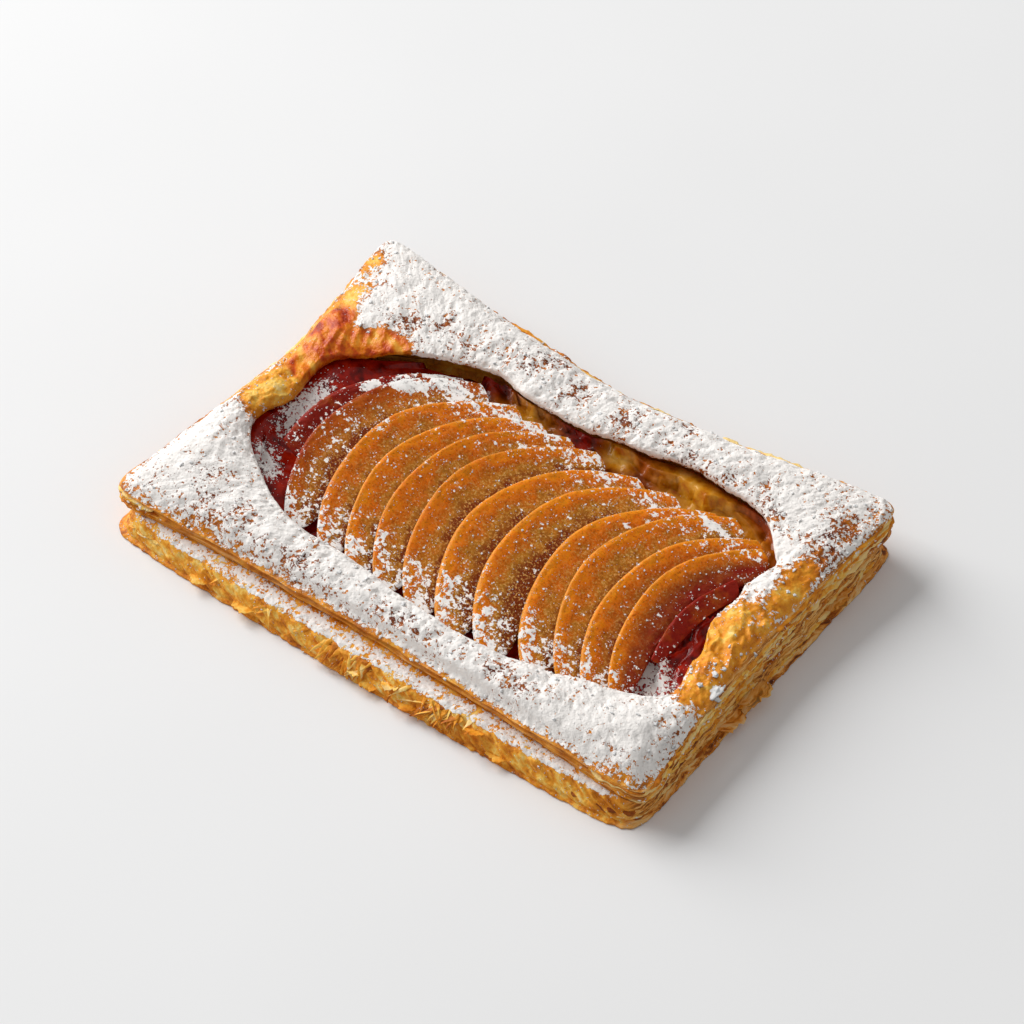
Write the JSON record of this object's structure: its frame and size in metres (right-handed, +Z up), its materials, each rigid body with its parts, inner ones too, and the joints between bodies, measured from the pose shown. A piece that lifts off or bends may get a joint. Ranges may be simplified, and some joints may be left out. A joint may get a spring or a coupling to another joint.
{
  "type": "apple tart slice",
  "caption": "Rectangular puff pastry apple tart slice with a windowed lid, compote and a fan of leaning apple slices under powdered sugar.",
  "frame": {"origin": "centre of the bottom of the tart's bounding box, on the surface that it rests on", "axes": "+X along the long side, the way the apple slices step; +Y across, from the sugared front ledge to the back; +Z up"},
  "size_m": [0.1489, 0.1038, 0.0163],
  "materials": {
    "puff_pastry": "matt, browned and flaky, under powdered sugar",
    "glazed_apple": "baked, glazed and dusted with sugar",
    "dark_compote": "glossy jelly"
  },
  "bodies": {
    "root": {"pastry_base": "puff_pastry", "pastry_lid": "puff_pastry", "apple_compote": "dark_compote", "apple_slice_01": "glazed_apple", "apple_slice_02": "glazed_apple", "apple_slice_03": "glazed_apple", "apple_slice_04": "glazed_apple", "apple_slice_05": "glazed_apple", "apple_slice_06": "glazed_apple", "apple_slice_07": "glazed_apple", "apple_slice_08": "glazed_apple", "apple_slice_09": "glazed_apple", "apple_slice_10": "glazed_apple", "apple_slice_11": "glazed_apple", "apple_slice_12": "glazed_apple", "apple_slice_13": "glazed_apple"}
  },
  "joints": []
}
